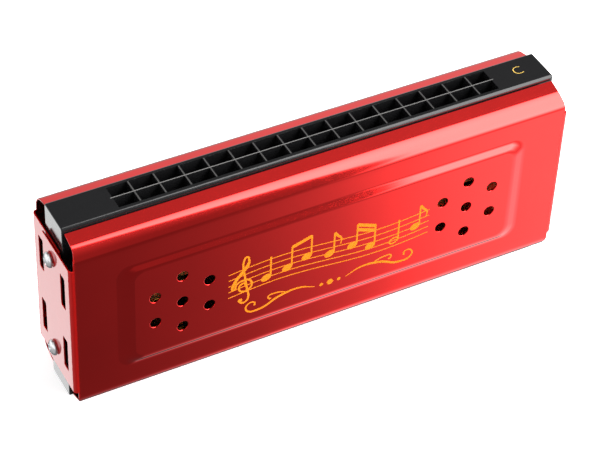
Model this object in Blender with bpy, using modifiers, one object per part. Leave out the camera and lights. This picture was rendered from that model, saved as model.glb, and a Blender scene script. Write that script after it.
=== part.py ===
"""A double-sided tremolo harmonica: two combs back to back between two pressed covers.

The instrument stands on its lower mouthpiece. X runs along it from the bass end to the treble end,
-Y is the front and Z is up. The origin is on the floor, under the middle of the instrument.
"""
import math

import bmesh
import bpy
from mathutils import Matrix, Vector

MM = 0.001

# Clearances between pieces that touch, and between the thin flaps that lap at the ends
GAP = 0.3 * MM
FLAP_GAP = 0.2 * MM

# Combs: depths are counted from the mouth face into the comb
COLUMNS = 16
COLUMN_PITCH = 6.4 * MM
HOLE_WALL = 0.5 * MM
ROW_END_WALL = 1.0 * MM
CENTRE_WALL = 0.4 * MM
HOLE_PAST_CORE = 0.1 * MM
MOUTH_DEPTH = 4.6 * MM
END_LAND = 13.6 * MM
COMB_THICKNESS = 10.0 * MM
COMB_HEIGHT = 27.0 * MM
COMB_EDGE = 0.7 * MM
COMB_EDGE_STEPS = 4
COMB_CORNER = 0.3 * MM
COMB_CORNER_STEPS = 3
REBATE_DEPTH = 1.4 * MM

# Reed plates
PLATE_THICKNESS = 1.0 * MM
PLATE_TOP = 5.4 * MM
PLATE_BACK_MARGIN = 0.6 * MM
PLATE_END_MARGIN = 2.8 * MM

# Reeds: a foot that is riveted to the plate and a tongue that swings through its slot.
# A narrow rail joins the feet of the eight reeds of a set.
SHORTEST_REED = 8.0 * MM
REED_THICKNESS = 0.3 * MM
REED_WIDTH = 2.0 * MM
TIP_TAPER = 0.15 * MM
FOOT_OVERLAP = 0.5 * MM
FOOT_LENGTH = 3.0 * MM
FOOT_TO_FLOOR = 0.6 * MM
RAIL_WIDTH = 0.7 * MM

# Rivets and nails
RIVET_RADIUS = 0.55 * MM
RIVET_HEAD_RADIUS = 1.1 * MM
RIVET_HEAD_HEIGHT = 0.35 * MM
NAIL_RADIUS = 0.4 * MM
NAIL_HEAD_RADIUS = 0.9 * MM
NAIL_HEAD_HEIGHT = 0.3 * MM
NAIL_BITE = 2.2 * MM
NAIL_EDGE_MARGIN = 0.15 * MM
NAIL_TO_FOOT = 0.35 * MM
NAIL_TO_FLOOR = 0.15 * MM
NAIL_WALL = 0.3 * MM
NAIL_END = 5.5 * MM
SMALL_SIDES = 6

# Covers
SHEET = 0.4 * MM
COVER_HALF_DEPTH = 11.5 * MM
COVER_SETBACK = 0.5 * MM
LIP_DROP = 1.2 * MM
SHOULDER_SLOPE = math.radians(16.0)
SHOULDER_RADIUS = 4.0 * MM
SHOULDER_STEPS = 5
PANEL_RISE = 0.8 * MM
PANEL_END_MARGIN = 10.2 * MM
PANEL_SIDE_MARGIN = 5.5 * MM
PANEL_END_SLOPE = 2.9 * MM
PANEL_SIDE_SLOPE = 1.5 * MM
PANEL_CORNER = 3.5 * MM
PANEL_CORNER_STEPS = 3
VENT_RADIUS = 1.45 * MM
VENT_RING = 8.05 * MM
VENT_COUNT = 6
VENT_SIDES = 12
VENT_FROM_PANEL_END = 15.7 * MM

# End flaps
FLAP_STEP = 1.4 * MM
FLAP_PAST_MIDDLE = 4.2 * MM
BEND_RADIUS = 1.0 * MM
BEND_STEPS = 4
SLOT_WIDTH = 2.45 * MM
SLOT_HEIGHT = 9.65 * MM
SLOT_FROM_FRONT = 4.5 * MM
SLOT_GAP = 10.25 * MM

# End screws
SCREW_DEPTH = 12.8 * MM
SCREW_RADIUS = 0.9 * MM
SCREW_HEAD_RADIUS = 2.0 * MM
SCREW_HEAD_HEIGHT = 1.2 * MM
SCREW_BITE = 8.5 * MM
SCREW_SIDES = 12
DOME_STEPS = 4
CROSS_LENGTH = 2.2 * MM
CROSS_WIDTH = 0.55 * MM
CROSS_DEPTH = 0.8 * MM

# Sizes that follow from those above
OVERRUN = 1.0 * MM
HEIGHT = 2 * COMB_HEIGHT
MIDDLE = HEIGHT / 2
HOLES_HALF = COLUMNS * COLUMN_PITCH / 2
ROW_HALF = HOLES_HALF - ROW_END_WALL
COMB_HALF = HOLES_HALF + END_LAND
COMB_FACE = COMB_THICKNESS / 2
CORE_FACE = COMB_FACE - REBATE_DEPTH
HOLE_OUTER_EDGE = CORE_FACE + HOLE_PAST_CORE
HOLE_WIDTH = COLUMN_PITCH - HOLE_WALL
CHAMBER_WIDTH = COLUMN_PITCH - 2 * (NAIL_RADIUS + GAP + NAIL_WALL)

PLATE_HALF = COMB_HALF - PLATE_END_MARGIN
PLATE_BOTTOM = COMB_HEIGHT - PLATE_BACK_MARGIN
PLATE_INNER = CORE_FACE + GAP
PLATE_OUTER = PLATE_INNER + PLATE_THICKNESS
FIRST_NAIL_DEPTH = PLATE_TOP + NAIL_EDGE_MARGIN + NAIL_HEAD_RADIUS
LAST_NAIL_DEPTH = PLATE_BOTTOM - NAIL_EDGE_MARGIN - NAIL_HEAD_RADIUS
CHAMBER_DEPTH = LAST_NAIL_DEPTH - NAIL_RADIUS - GAP - NAIL_TO_FLOOR
DRAW_RIVET_DEPTH = FIRST_NAIL_DEPTH + NAIL_HEAD_RADIUS + NAIL_TO_FOOT + FOOT_LENGTH / 2
BLOW_RIVET_DEPTH = CHAMBER_DEPTH - FOOT_TO_FLOOR - FOOT_LENGTH / 2
LONGEST_REED = BLOW_RIVET_DEPTH - DRAW_RIVET_DEPTH

COVER_HALF = COMB_HALF - COVER_SETBACK
COVER_EDGE = COMB_FACE + GAP
SHOULDER_CENTRE = COVER_HALF_DEPTH - SHOULDER_RADIUS
SHOULDER_TANGENT = SHOULDER_CENTRE + SHOULDER_RADIUS * math.sin(SHOULDER_SLOPE)
SHOULDER_DEPTH = (LIP_DROP + (SHOULDER_TANGENT - COVER_EDGE) * math.tan(SHOULDER_SLOPE)
                  + SHOULDER_RADIUS * math.cos(SHOULDER_SLOPE))
PANEL_HALF_LENGTH = COVER_HALF - PANEL_END_MARGIN
PANEL_HALF_HEIGHT = MIDDLE - SHOULDER_DEPTH - PANEL_SIDE_MARGIN
FLAP_HALF_HEIGHT = MIDDLE - SHOULDER_DEPTH - FLAP_STEP
INNER_FLAP_FACE = COMB_HALF + FLAP_GAP + SHEET
OUTER_FLAP_FACE = INNER_FLAP_FACE + FLAP_GAP + SHEET

LEVELS = ("upper", "lower")
FACES = {"front": -1, "rear": 1}

# Colour, roughness and metallic value of each finish
FINISHES = {
    "black_plastic": ((0.012, 0.012, 0.013), 0.28, 0.0),
    "red_enamel": ((0.62, 0.018, 0.016), 0.22, 0.6),
    "brass": ((0.78, 0.52, 0.16), 0.32, 1.0),
    "reed_brass": ((0.86, 0.62, 0.24), 0.25, 1.0),
    "chrome": ((0.80, 0.81, 0.83), 0.10, 1.0),
}


def clear_scene():
    for old in list(bpy.data.objects):
        bpy.data.objects.remove(old, do_unlink=True)


def make_collection(name):
    collection = bpy.data.collections.new(name)
    bpy.context.scene.collection.children.link(collection)
    return collection


def make_material(name):
    colour, roughness, metallic = FINISHES[name]
    material = bpy.data.materials.new(name)
    material.use_nodes = True
    shader = material.node_tree.nodes["Principled BSDF"]
    shader.inputs["Base Color"].default_value = (*colour, 1.0)
    shader.inputs["Roughness"].default_value = roughness
    shader.inputs["Metallic"].default_value = metallic
    return material


def depth_to_height(level, depth):
    """The height above the floor of a place at this depth behind a comb's mouth face."""
    return HEIGHT - depth if level == "upper" else depth


def column_x(column):
    return (column + 0.5) * COLUMN_PITCH - HOLES_HALF


def reed_length(column):
    """Reeds shorten evenly from the bass end to the treble end."""
    share = column / max(COLUMNS - 1, 1)
    return LONGEST_REED + (SHORTEST_REED - LONGEST_REED) * share


def arc(centre_a, centre_b, radius, start, end, steps):
    """Points on an arc in a plane, both ends included, with angles in radians."""
    angles = [start + (end - start) * step / steps for step in range(steps + 1)]
    return [(centre_a + radius * math.cos(angle), centre_b + radius * math.sin(angle))
            for angle in angles]


def circle(centre_a, centre_b, radius, sides):
    return arc(centre_a, centre_b, radius, 0.0, 2 * math.pi, sides)[:-1]


def evaluated_mesh(source):
    """The mesh of an object with its modifiers, after which the object is removed."""
    bpy.context.view_layer.update()
    depsgraph = bpy.context.evaluated_depsgraph_get()
    mesh = bpy.data.meshes.new_from_object(source.evaluated_get(depsgraph))
    bpy.data.objects.remove(source, do_unlink=True)
    return mesh


def tidy_mesh(mesh, matrix):
    """Moves a mesh, welds its seams and points its faces outwards."""
    shape = bmesh.new()
    shape.from_mesh(mesh)
    bmesh.ops.transform(shape, matrix=matrix, verts=shape.verts)
    bmesh.ops.remove_doubles(shape, verts=shape.verts, dist=0.001 * MM)
    bmesh.ops.recalc_face_normals(shape, faces=shape.faces)
    shape.to_mesh(mesh)
    shape.free()
    return mesh


PLANES = {
    "XY": Matrix(((1, 0, 0, 0), (0, 1, 0, 0), (0, 0, 1, 0), (0, 0, 0, 1))),
    "XZ": Matrix(((1, 0, 0, 0), (0, 0, 1, 0), (0, 1, 0, 0), (0, 0, 0, 1))),
    "YZ": Matrix(((0, 0, 1, 0), (1, 0, 0, 0), (0, 1, 0, 0), (0, 0, 0, 1))),
}


def prism(outlines, plane, low, high):
    """A mesh of flat outlines in a plane, extruded across it from low to high."""
    # The curve is drawn in millimetres, as a fill drops corners that are very close together
    curve = bpy.data.curves.new("outline", "CURVE")
    curve.dimensions = "2D"
    curve.fill_mode = "BOTH"
    curve.extrude = (high - low) / 2 / MM
    for outline in outlines:
        spline = curve.splines.new("POLY")
        spline.points.add(len(outline) - 1)
        for point, (a, b) in zip(spline.points, outline):
            point.co = (a / MM, b / MM, 0.0, 1.0)
        spline.use_cyclic_u = True
    source = bpy.data.objects.new("outline", curve)
    bpy.context.scene.collection.objects.link(source)
    mesh = evaluated_mesh(source)
    middle = Matrix.Translation((0, 0, (low + high) / 2))
    return tidy_mesh(mesh, PLANES[plane] @ middle @ Matrix.Scale(MM, 4))


def block(low, high):
    """A box mesh between two corners."""
    size = Vector(high) - Vector(low)
    centre = (Vector(high) + Vector(low)) / 2
    shape = bmesh.new()
    bmesh.ops.create_cube(shape, size=1.0)
    bmesh.ops.scale(shape, vec=size, verts=shape.verts)
    bmesh.ops.translate(shape, vec=centre, verts=shape.verts)
    mesh = bpy.data.meshes.new("block")
    shape.to_mesh(mesh)
    shape.free()
    return mesh


def turned(profile, sides):
    """A solid turned about Z from a profile of (radius, height) points, listed top to bottom."""
    mesh = bpy.data.meshes.new("profile")
    points = [(radius, 0.0, height) for radius, height in profile]
    mesh.from_pydata(points, [(i, i + 1) for i in range(len(points) - 1)], [])
    source = bpy.data.objects.new("profile", mesh)
    bpy.context.scene.collection.objects.link(source)
    screw = source.modifiers.new("turn", "SCREW")
    screw.steps = sides
    screw.render_steps = sides
    screw.use_merge_vertices = True
    screw.merge_threshold = 0.001 * MM
    return tidy_mesh(evaluated_mesh(source), Matrix.Identity(4))


def headed_profile(head_radius, head_height, shank_radius, shank_length):
    """The profile of a rivet or nail along Z, with the underside of its head at zero."""
    return [(0.0, head_height), (head_radius, head_height), (head_radius, 0.0),
            (shank_radius, 0.0), (shank_radius, -shank_length), (0.0, -shank_length)]


def merged(meshes_and_matrices):
    """One mesh of several separate bodies."""
    shape = bmesh.new()
    for mesh, matrix in meshes_and_matrices:
        part = mesh.copy()
        part.transform(matrix)
        shape.from_mesh(part)
        bpy.data.meshes.remove(part)
    mesh = bpy.data.meshes.new("group")
    shape.to_mesh(mesh)
    shape.free()
    return mesh


def add_piece(name, mesh, material, origin=(0.0, 0.0, 0.0)):
    """One named sub-part, with its origin at a chosen point and its mesh where it was built."""
    mesh.name = name
    mesh.transform(Matrix.Translation(-Vector(origin)))
    mesh.materials.clear()
    mesh.materials.append(MATERIALS[material])
    piece = bpy.data.objects.new(name, mesh)
    piece.location = origin
    piece.parent = HARMONICA
    PARTS.objects.link(piece)
    return piece


def add_boolean(piece, mesh, operation, name):
    """Cuts a mesh from a piece, or joins it, by a Boolean with a hidden tool object."""
    tool = bpy.data.objects.new(f"{piece.name}_{name}", mesh)
    tool.hide_render = True
    tool.display_type = "WIRE"
    CUTTERS.objects.link(tool)
    boolean = piece.modifiers.new(name, "BOOLEAN")
    boolean.operation = operation
    boolean.solver = "EXACT"
    boolean.object = tool


def turned_towards(axis):
    """A rotation that lays a solid turned about Z along another axis, its top pointing that way."""
    return Vector((0, 0, 1)).rotation_difference(Vector(axis)).to_matrix().to_4x4()


def hole_places():
    """Column centres, for the front and rear row of a mouthpiece."""
    return [(column_x(column), side) for column in range(COLUMNS) for side in FACES.values()]


def hole_blocks(level, width, start, end):
    """One block for each hole, of this width, between two depths behind the mouth face."""
    heights = sorted((depth_to_height(level, start), depth_to_height(level, end)))
    blocks = []
    for x, side in hole_places():
        across = sorted((side * CENTRE_WALL / 2, side * HOLE_OUTER_EDGE))
        left, right = max(x - width / 2, -ROW_HALF), min(x + width / 2, ROW_HALF)
        blocks.append(block((left, across[0], heights[0]), (right, across[1], heights[1])))
    return merged([(mesh, Matrix.Identity(4)) for mesh in blocks])


def nail_places(level):
    """Six nails to a plate: at both ends and at the middle divider, above and below the reeds."""
    end = PLATE_HALF - NAIL_END
    divider = (COLUMNS // 2) * COLUMN_PITCH - HOLES_HALF
    return [(x, depth_to_height(level, depth)) for x in (-end, divider, end)
            for depth in (FIRST_NAIL_DEPTH, LAST_NAIL_DEPTH)]


def make_comb(level):
    """The comb: a block with rebates for two reed plates and 32 chambers."""
    mouth = depth_to_height(level, 0.0)
    back = depth_to_height(level, COMB_HEIGHT - GAP / 2)
    low, high = min(mouth, back), max(mouth, back)
    shape = bmesh.new()
    shape.from_mesh(block((-COMB_HALF, -COMB_FACE, low), (COMB_HALF, COMB_FACE, high)))
    long_rims = [edge for edge in shape.edges
                 if edge.calc_length() > COMB_HALF and abs(edge.verts[0].co.z - mouth) < GAP]
    bmesh.ops.bevel(shape, geom=long_rims, offset=COMB_EDGE, segments=COMB_EDGE_STEPS, profile=0.5,
                    affect="EDGES")
    end_rims = [edge for edge in shape.edges
                if edge.calc_length() < COMB_HALF
                and all(abs(vertex.co.x) > COMB_HALF - COMB_CORNER for vertex in edge.verts)
                and any(abs(vertex.co.z - back) > GAP for vertex in edge.verts)]
    bmesh.ops.bevel(shape, geom=end_rims, offset=COMB_CORNER, segments=COMB_CORNER_STEPS, profile=0.5,
                    affect="EDGES")
    mesh = bpy.data.meshes.new("comb")
    shape.to_mesh(mesh)
    shape.free()
    comb = add_piece(f"{level}_comb", mesh, "black_plastic", (0.0, 0.0, mouth))

    rebate_half = PLATE_HALF + GAP
    rebate_start = depth_to_height(level, PLATE_TOP - GAP)
    rebate_end = depth_to_height(level, COMB_HEIGHT + OVERRUN)
    rebate_low, rebate_high = min(rebate_start, rebate_end), max(rebate_start, rebate_end)
    rebates = [
        block((-rebate_half, min(side * CORE_FACE, side * (COMB_FACE + OVERRUN)), rebate_low),
              (rebate_half, max(side * CORE_FACE, side * (COMB_FACE + OVERRUN)), rebate_high))
        for side in FACES.values()]
    still = Matrix.Identity(4)
    add_boolean(comb, merged([(mesh, still) for mesh in rebates]), "DIFFERENCE", "rebates")

    add_boolean(comb, hole_blocks(level, HOLE_WIDTH, -OVERRUN, MOUTH_DEPTH), "DIFFERENCE", "mouths")
    add_boolean(comb, hole_blocks(level, CHAMBER_WIDTH, MOUTH_DEPTH / 2, CHAMBER_DEPTH),
                "DIFFERENCE", "chambers")

    rail_depths = [BLOW_RIVET_DEPTH + along for along in rail_span()]
    rail_heights = sorted(depth_to_height(level, depth) for depth in rail_depths)
    grooves = []
    for side in FACES.values():
        across = sorted((side * (reed_faces(blow=True)[0] - GAP), side * (CORE_FACE + OVERRUN)))
        grooves.append((block((-HOLES_HALF, across[0], rail_heights[0] - GAP),
                              (HOLES_HALF, across[1], rail_heights[1] + GAP)), still))
    add_boolean(comb, merged(grooves), "DIFFERENCE", "rail_grooves")

    nail_hole = turned([(0.0, OVERRUN), (NAIL_RADIUS + GAP, OVERRUN),
                        (NAIL_RADIUS + GAP, -NAIL_BITE - GAP), (0.0, -NAIL_BITE - GAP)], SMALL_SIDES)
    nail_holes = [
        (nail_hole, Matrix.Translation((x, side * CORE_FACE, z)) @ turned_towards((0, side, 0)))
        for x, z in nail_places(level) for side in FACES.values()]
    add_boolean(comb, merged(nail_holes), "DIFFERENCE", "nail_holes")

    pilot_radius = SCREW_RADIUS + GAP
    pilot = turned([(0.0, OVERRUN), (pilot_radius, OVERRUN), (pilot_radius, -SCREW_BITE - GAP),
                    (0.0, -SCREW_BITE - GAP)], SCREW_SIDES)
    screw_z = depth_to_height(level, SCREW_DEPTH)
    pilots = [(pilot, Matrix.Translation((end * COMB_HALF, 0.0, screw_z)) @ turned_towards((end, 0, 0)))
              for end in (-1, 1)]
    add_boolean(comb, merged(pilots), "DIFFERENCE", "pilot_holes")


def is_blow(column):
    return column % 2 == 0


def rivet_depth(column):
    return BLOW_RIVET_DEPTH if is_blow(column) else DRAW_RIVET_DEPTH


def tongue_way(column):
    """Blow tongues point to the mouth face and draw tongues point away from it."""
    return -1 if is_blow(column) else 1


def reed_faces(blow):
    """How far from the comb's middle plane a reed's two faces lie."""
    if blow:
        return PLATE_INNER - GAP - REED_THICKNESS, PLATE_INNER - GAP
    return PLATE_OUTER + GAP, PLATE_OUTER + GAP + REED_THICKNESS


def rail_span():
    """The rail's two edges, as distances from the rivets on the side away from the tongues."""
    return FOOT_LENGTH / 2 - RAIL_WIDTH, FOOT_LENGTH / 2


def make_plate(level, face):
    """A reed plate: a brass sheet with a slot for each reed, and the rivets that hold the reeds."""
    side = FACES[face]
    through = sorted((side * (PLATE_INNER - OVERRUN), side * (PLATE_OUTER + OVERRUN)))
    inner, outer = sorted((side * PLATE_INNER, side * PLATE_OUTER))
    low, high = sorted((depth_to_height(level, PLATE_TOP), depth_to_height(level, PLATE_BOTTOM)))
    mesh = block((-PLATE_HALF, inner, low), (PLATE_HALF, outer, high))
    origin = (0.0, side * PLATE_INNER, (low + high) / 2)
    plate = add_piece(f"{level}_{face}_reed_plate", mesh, "brass", origin)

    still = Matrix.Identity(4)
    slots = []
    for column in range(COLUMNS):
        x, depth, way = column_x(column), rivet_depth(column), tongue_way(column)
        half = REED_WIDTH / 2 + GAP
        ends = sorted((depth_to_height(level, depth + way * (FOOT_LENGTH / 2 + GAP)),
                       depth_to_height(level, depth + way * (reed_length(column) + GAP))))
        slots.append((block((x - half, through[0], ends[0]), (x + half, through[1], ends[1])), still))
    add_boolean(plate, merged(slots), "DIFFERENCE", "slots")

    nail_holes = [(prism([circle(x, z, NAIL_RADIUS + GAP, SMALL_SIDES)], "XZ", *through), still)
                  for x, z in nail_places(level)]
    add_boolean(plate, merged(nail_holes), "DIFFERENCE", "nail_holes")

    shank = PLATE_THICKNESS / 2 + GAP + REED_THICKNESS + GAP
    rivet = turned(headed_profile(RIVET_HEAD_RADIUS, RIVET_HEAD_HEIGHT, RIVET_RADIUS, shank),
                   SMALL_SIDES)
    rivets = []
    for column in range(COLUMNS):
        blow = is_blow(column)
        near, far = reed_faces(blow)
        under_head = near - GAP if blow else far + GAP
        place = (column_x(column), side * under_head, depth_to_height(level, rivet_depth(column)))
        turn = turned_towards((0, -side if blow else side, 0))
        rivets.append((rivet, Matrix.Translation(place) @ turn))
    add_boolean(plate, merged(rivets), "UNION", "rivets")


def reeds_outline(level, columns):
    """A rail with a foot and a tapering tongue for each of these columns."""
    depth, way = rivet_depth(columns[0]), tongue_way(columns[0])
    root = REED_WIDTH / 2
    foot, tip = root + FOOT_OVERLAP, root - TIP_TAPER
    rail_inside, rail_outside = rail_span()
    points = [(column_x(columns[0]) - foot, -rail_outside),
              (column_x(columns[-1]) + foot, -rail_outside)]
    for column in reversed(columns):
        reed = [(foot, -rail_inside), (foot, FOOT_LENGTH / 2 - GAP), (root, FOOT_LENGTH / 2),
                (tip, reed_length(column))]
        points += [(column_x(column) + half, along) for half, along in reed]
        points += [(column_x(column) - half, along) for half, along in reversed(reed)]
    return [(x, depth_to_height(level, depth + way * along)) for x, along in points]


def make_reeds(level, face, blow):
    """The blow or draw reeds of one plate. Their origin is on the line of their rivets."""
    near, far = sorted(FACES[face] * distance for distance in reed_faces(blow))
    columns = [column for column in range(COLUMNS) if is_blow(column) == blow]
    height = depth_to_height(level, rivet_depth(columns[0]))
    outlines = [reeds_outline(level, columns)]
    for column in columns:
        outlines.append(circle(column_x(column), height, RIVET_RADIUS + GAP, SMALL_SIDES))
    kind = "blow" if blow else "draw"
    add_piece(f"{level}_{face}_{kind}_reeds", prism(outlines, "XZ", near, far), "reed_brass",
              (0.0, (near + far) / 2, height))


def make_nails(level, face):
    """The nails that hold a reed plate on its comb."""
    side = FACES[face]
    length = PLATE_THICKNESS + 2 * GAP + NAIL_BITE
    for number, (x, z) in enumerate(nail_places(level), start=1):
        place = Matrix.Translation((x, side * (PLATE_OUTER + GAP), z))
        nail = turned(headed_profile(NAIL_HEAD_RADIUS, NAIL_HEAD_HEIGHT, NAIL_RADIUS, length),
                      SMALL_SIDES)
        nail.transform(place @ turned_towards((0, side, 0)))
        add_piece(f"{level}_{face}_nail_{number}", nail, "brass", place.translation)


def cover_outline(side):
    """The cover's section: a front sheet, a rounded shoulder at top and bottom and two sloping lips."""
    quarter = math.pi / 2
    outer = [(COVER_EDGE, LIP_DROP)]
    outer += arc(SHOULDER_CENTRE, SHOULDER_DEPTH, SHOULDER_RADIUS,
                 -quarter + SHOULDER_SLOPE, 0.0, SHOULDER_STEPS)
    inner_drop = LIP_DROP + SHEET / math.cos(SHOULDER_SLOPE)
    inner = [(COVER_EDGE, inner_drop)]
    inner += arc(SHOULDER_CENTRE, SHOULDER_DEPTH, SHOULDER_RADIUS - SHEET,
                 -quarter + SHOULDER_SLOPE, 0.0, SHOULDER_STEPS)
    down_outside = [(side * y, HEIGHT - depth) for y, depth in outer]
    down_outside += [(side * y, depth) for y, depth in reversed(outer)]
    up_inside = [(side * y, depth) for y, depth in inner]
    up_inside += [(side * y, HEIGHT - depth) for y, depth in reversed(inner)]
    return down_outside + up_inside


def pressing(side, low, high, top):
    """A raised pad with sloping sides and round corners, between two distances from the middle plane."""
    shape = bmesh.new()
    bmesh.ops.create_cube(shape, size=2.0)
    for vertex in shape.verts:
        distance = high if vertex.co.y > 0 else low
        fall = (top - distance) / PANEL_RISE
        half_length = PANEL_HALF_LENGTH - PANEL_END_SLOPE + fall * PANEL_END_SLOPE
        half_height = PANEL_HALF_HEIGHT - PANEL_SIDE_SLOPE + fall * PANEL_SIDE_SLOPE
        vertex.co = (vertex.co.x * half_length, distance, MIDDLE + vertex.co.z * half_height)
    corners = [edge for edge in shape.edges
               if abs(edge.verts[0].co.y - edge.verts[1].co.y) > PANEL_RISE / 2]
    bmesh.ops.bevel(shape, geom=corners, offset=PANEL_CORNER, segments=PANEL_CORNER_STEPS,
                    profile=0.5, affect="EDGES")
    mesh = bpy.data.meshes.new("pressing")
    shape.to_mesh(mesh)
    shape.free()
    mesh.transform(Matrix.Rotation(0.0 if side > 0 else math.pi, 4, "Z"))
    return mesh


def flap_outline(side, end, flap_face):
    """An end flap from above: it leaves the front sheet, turns the corner and crosses the end."""
    quarter = math.pi / 2
    bend_x = flap_face - BEND_RADIUS
    bend_y = COVER_HALF_DEPTH - BEND_RADIUS
    root = COVER_HALF - OVERRUN
    outer = [(root, COVER_HALF_DEPTH)] + arc(bend_x, bend_y, BEND_RADIUS, quarter, 0.0, BEND_STEPS)
    outer.append((flap_face, -FLAP_PAST_MIDDLE))
    inner = [(flap_face - SHEET, -FLAP_PAST_MIDDLE)]
    inner += arc(bend_x, bend_y, BEND_RADIUS - SHEET, 0.0, quarter, BEND_STEPS)
    inner.append((root, COVER_HALF_DEPTH - SHEET))
    return [(end * x, side * y) for x, y in outer + inner]


def vent_places():
    """Seven vents to a group: one in the middle and a ring round it."""
    group_x = PANEL_HALF_LENGTH - VENT_FROM_PANEL_END
    ring = [(0.0, 0.0)] + [
        (VENT_RING * math.sin(2 * math.pi * i / VENT_COUNT), VENT_RING * math.cos(2 * math.pi * i / VENT_COUNT))
        for i in range(VENT_COUNT)]
    return [(end * group_x + x, MIDDLE + z) for end in (-1, 1) for x, z in ring]


def make_cover(face, flap_face):
    """A pressed cover with a raised panel, two groups of vents and an end flap at each end."""
    side = FACES[face]
    still = Matrix.Identity(4)
    shell = prism([cover_outline(side)], "YZ", -COVER_HALF, COVER_HALF)
    cover = add_piece(f"{face}_cover", shell, "red_enamel", (0.0, side * COVER_HALF_DEPTH, MIDDLE))

    flap_low, flap_high = MIDDLE - FLAP_HALF_HEIGHT, MIDDLE + FLAP_HALF_HEIGHT
    flaps = [(prism([flap_outline(side, end, flap_face)], "XY", flap_low, flap_high), still)
             for end in (-1, 1)]
    add_boolean(cover, merged(flaps), "UNION", "flaps")

    panel_face = COVER_HALF_DEPTH + PANEL_RISE
    inside = COVER_HALF_DEPTH - SHEET
    add_boolean(cover, pressing(side, COVER_HALF_DEPTH - SHEET / 2, panel_face, panel_face),
                "UNION", "raised_panel")
    add_boolean(cover, pressing(side, inside - SHEET, panel_face - SHEET, panel_face - SHEET),
                "DIFFERENCE", "panel_hollow")

    vent = turned([(0.0, OVERRUN), (VENT_RADIUS, OVERRUN), (VENT_RADIUS, -OVERRUN),
                   (0.0, -OVERRUN)], VENT_SIDES)
    vents = [(vent, Matrix.Translation((x, side * panel_face, z)) @ turned_towards((0, side, 0)))
             for x, z in vent_places()]
    add_boolean(cover, merged(vents), "DIFFERENCE", "vents")

    slots = []
    slot_y = side * (COVER_HALF_DEPTH - SLOT_FROM_FRONT)
    for end in (-1, 1):
        flap_x = sorted((end * (flap_face - SHEET - OVERRUN), end * (flap_face + OVERRUN)))
        for way in (-1, 1):
            slot_z = MIDDLE + way * (SLOT_GAP + SLOT_HEIGHT) / 2
            low = (flap_x[0], slot_y - SLOT_WIDTH / 2, slot_z - SLOT_HEIGHT / 2)
            high = (flap_x[1], slot_y + SLOT_WIDTH / 2, slot_z + SLOT_HEIGHT / 2)
            slots.append((block(low, high), still))
    add_boolean(cover, merged(slots), "DIFFERENCE", "slots")

    hole_radius = SCREW_RADIUS + GAP
    screw_hole = turned([(0.0, OVERRUN), (hole_radius, OVERRUN), (hole_radius, -OVERRUN),
                         (0.0, -OVERRUN)], SCREW_SIDES)
    holes = [(screw_hole, Matrix.Translation((end * flap_face, 0.0, depth_to_height(level, SCREW_DEPTH)))
              @ turned_towards((end, 0, 0))) for end in (-1, 1) for level in LEVELS]
    add_boolean(cover, merged(holes), "DIFFERENCE", "screw_holes")


def make_screw(level, end_name, end):
    """A domed screw with a cross recess, through both flaps into the comb's end."""
    under_head = OUTER_FLAP_FACE + GAP
    length = under_head - COMB_HALF + SCREW_BITE
    dome = arc(0.0, 0.0, 1.0, math.pi / 2, 0.0, DOME_STEPS)
    profile = [(SCREW_HEAD_RADIUS * a, SCREW_HEAD_HEIGHT * b) for a, b in dome]
    profile[0] = (0.0, SCREW_HEAD_HEIGHT)
    profile += [(SCREW_RADIUS, 0.0), (SCREW_RADIUS, -length + SCREW_RADIUS), (0.0, -length)]
    place = Matrix.Translation((end * under_head, 0.0, depth_to_height(level, SCREW_DEPTH)))
    lie = place @ turned_towards((end, 0, 0))
    mesh = turned(profile, SCREW_SIDES)
    mesh.transform(lie)
    screw = add_piece(f"{level}_{end_name}_screw", mesh, "chrome", lie.translation)

    floor, top = SCREW_HEAD_HEIGHT - CROSS_DEPTH, SCREW_HEAD_HEIGHT + OVERRUN
    for name, half_x, half_y in (("recess_along", CROSS_LENGTH / 2, CROSS_WIDTH / 2),
                                 ("recess_across", CROSS_WIDTH / 2, CROSS_LENGTH / 2)):
        recess = block((-half_x, -half_y, floor), (half_x, half_y, top))
        recess.transform(lie)
        add_boolean(screw, recess, "DIFFERENCE", name)


def shade_round_pieces():
    for piece in PARTS.objects:
        if piece.type == "MESH":
            piece.data.shade_smooth()
            piece.data.set_sharp_from_angle(angle=math.radians(35.0))


clear_scene()
PARTS = make_collection("tremolo_harmonica")
CUTTERS = make_collection("cutters")
MATERIALS = {name: make_material(name) for name in FINISHES}
HARMONICA = bpy.data.objects.new("harmonica", None)
PARTS.objects.link(HARMONICA)

for comb_level in LEVELS:
    make_comb(comb_level)
    for comb_face in FACES:
        make_plate(comb_level, comb_face)
        make_reeds(comb_level, comb_face, blow=True)
        make_reeds(comb_level, comb_face, blow=False)
        make_nails(comb_level, comb_face)
    for end_name, end_side in (("left", -1), ("right", 1)):
        make_screw(comb_level, end_name, end_side)
make_cover("front", OUTER_FLAP_FACE)
make_cover("rear", INNER_FLAP_FACE)
shade_round_pieces()
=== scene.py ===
"""A double-sided tremolo harmonica, dressed over its CAD frame.

X runs along the row of holes from bass to treble, -Y is the front and Z is up, all in metres.
"""
import math

import bmesh
import bpy
from bpy.props import FloatProperty, FloatVectorProperty, IntProperty, PointerProperty
from mathutils import Matrix, Vector


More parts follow.
